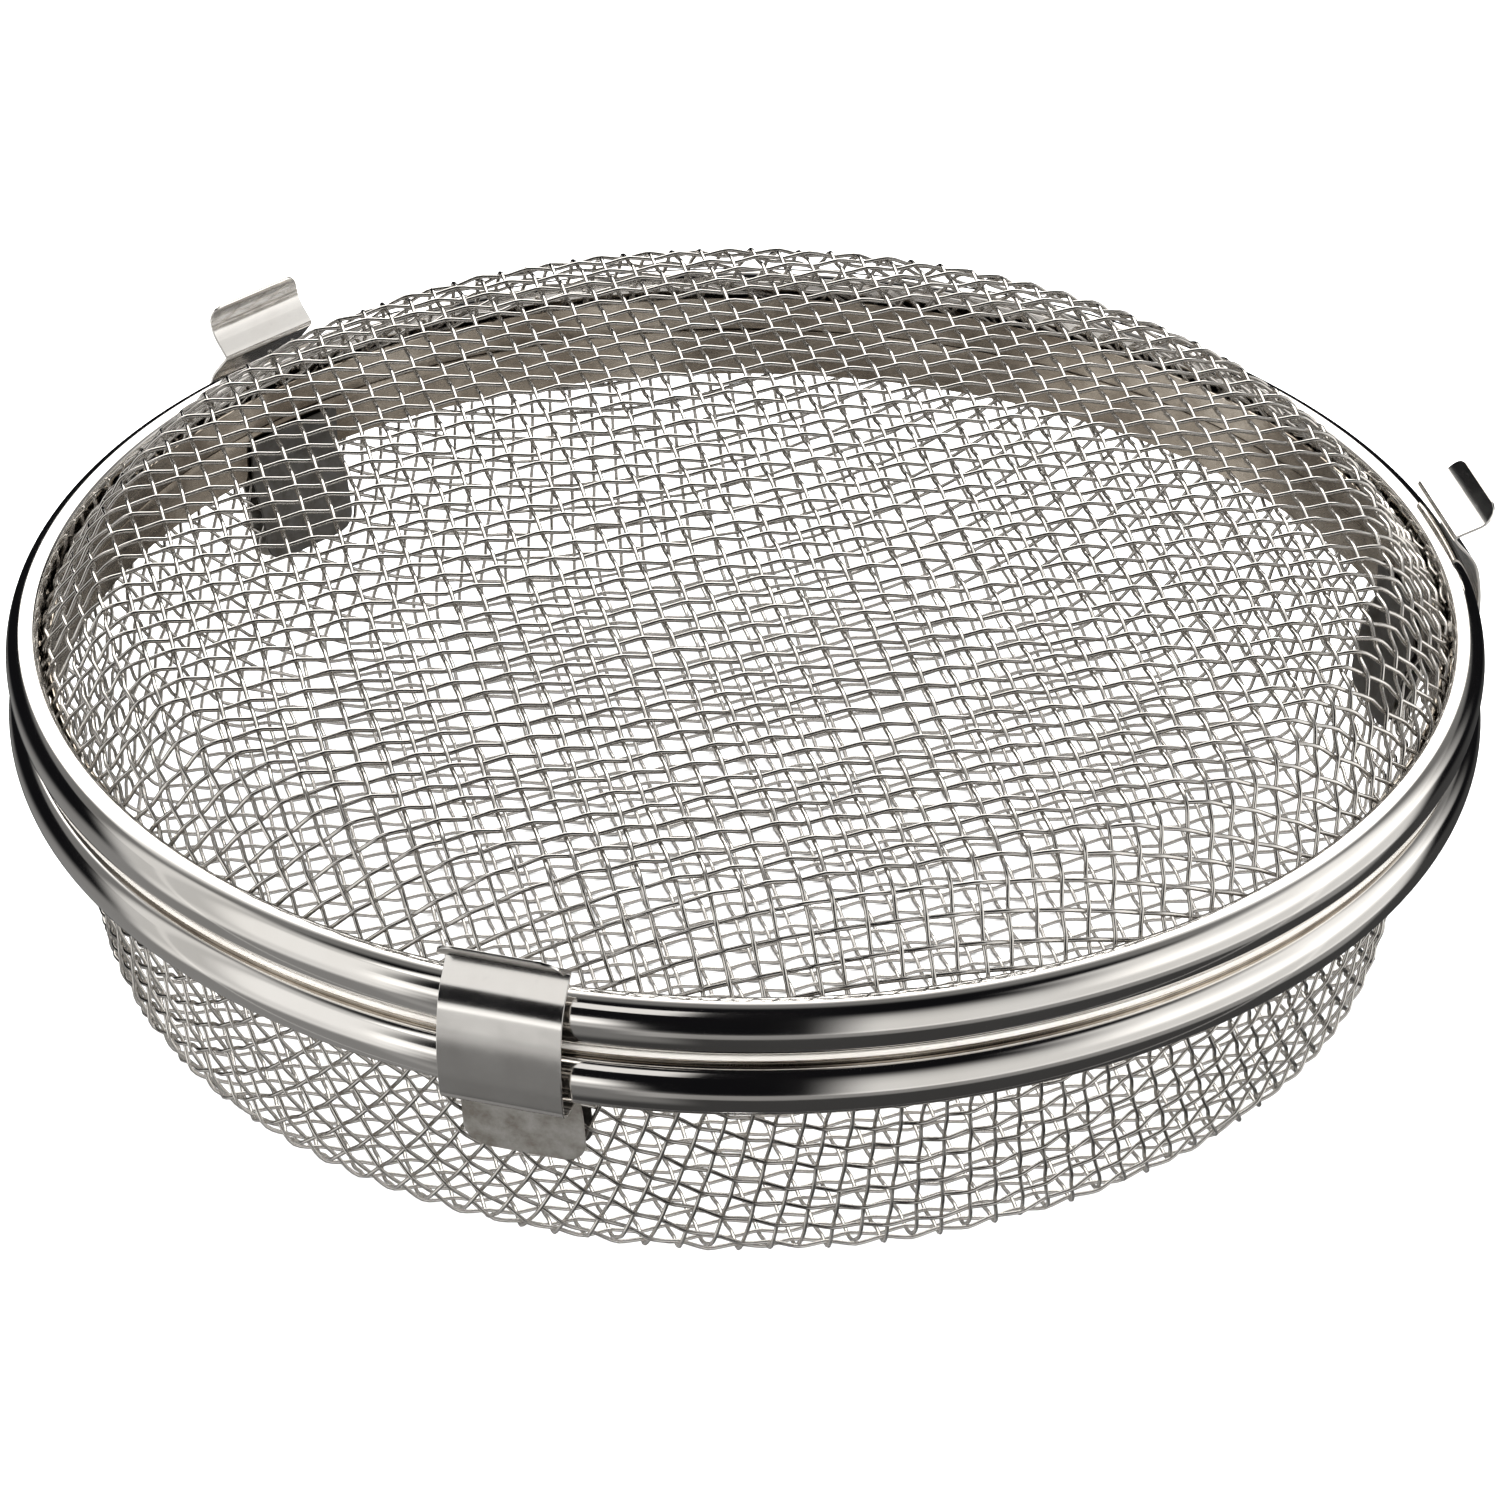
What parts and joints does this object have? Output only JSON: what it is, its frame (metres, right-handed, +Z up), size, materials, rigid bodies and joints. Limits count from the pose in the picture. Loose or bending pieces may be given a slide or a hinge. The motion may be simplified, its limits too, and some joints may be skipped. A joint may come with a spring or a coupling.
{
  "type": "double sieve strainer",
  "caption": "Round wire-mesh honey strainer: a shallow sieve turned over and clipped rim to rim on a deeper basket sieve, with spring clips that snap over the upper rim.",
  "frame": {"origin": "centre of the flat on the underside of the lower basket, where it rests on a surface", "axes": "+Z up through the centres of both sieves, +X towards spring clip 1"},
  "size_m": [0.2438, 0.24, 0.0774],
  "materials": {
    "mirror_steel": "mirror-polished stainless steel",
    "band_steel": "bright rolled stainless steel, lightly streaked",
    "mesh_wire": "drawn stainless wire, plain weave",
    "clip_steel": "satin-polished stainless spring strip",
    "tab_steel": "dull stainless strip with weld marks",
    "hoop_steel": "plain drawn steel wire"
  },
  "bodies": {
    "lower_sieve": {"lower_mesh": "mesh_wire", "lower_rim": "mirror_steel", "lower_hoop_wire": "hoop_steel", "lower_clamp_band": "band_steel", "weld_tab_1": "tab_steel", "backing_plate_1": "tab_steel", "spot_welds_1": "tab_steel", "weld_tab_2": "tab_steel", "backing_plate_2": "tab_steel", "spot_welds_2": "tab_steel", "weld_tab_3": "tab_steel", "backing_plate_3": "tab_steel", "spot_welds_3": "tab_steel"},
    "upper_sieve": {"upper_mesh": "mesh_wire", "upper_rim": "mirror_steel", "upper_hoop_wire": "hoop_steel", "upper_clamp_band": "band_steel"},
    "clip_1": {"spring_clip_1": "clip_steel"},
    "clip_2": {"spring_clip_2": "clip_steel"},
    "clip_3": {"spring_clip_3": "clip_steel"}
  },
  "joints": [
    {"name": "upper_lift", "type": "slide", "parent": "lower_sieve", "child": "upper_sieve", "axis": [0, 0, 1], "range_m": [0, 0.012]},
    {"name": "clip_1_flex", "type": "hinge", "parent": "lower_sieve", "child": "clip_1", "pos_m": [0.1183, 0, 0.04065], "axis": [0, 1, 0], "range_deg": [0, 19.5], "stiffness_Nm_per_rad": 0.2},
    {"name": "clip_2_flex", "type": "hinge", "parent": "lower_sieve", "child": "clip_2", "pos_m": [-0.06181, 0.10087, 0.04065], "axis": [-0.8526, -0.5225, 0], "range_deg": [0, 19.5], "stiffness_Nm_per_rad": 0.2},
    {"name": "clip_3_flex", "type": "hinge", "parent": "lower_sieve", "child": "clip_3", "pos_m": [-0.05986, -0.10204, 0.04065], "axis": [0.8625, -0.506, 0], "range_deg": [0, 19.5], "stiffness_Nm_per_rad": 0.2}
  ],
  "couplings": [
    {"joint": "clip_1_flex", "follows": "upper_lift", "rad_per_m": 27.925},
    {"joint": "clip_2_flex", "follows": "upper_lift", "rad_per_m": 27.925},
    {"joint": "clip_3_flex", "follows": "upper_lift", "rad_per_m": 27.925}
  ]
}
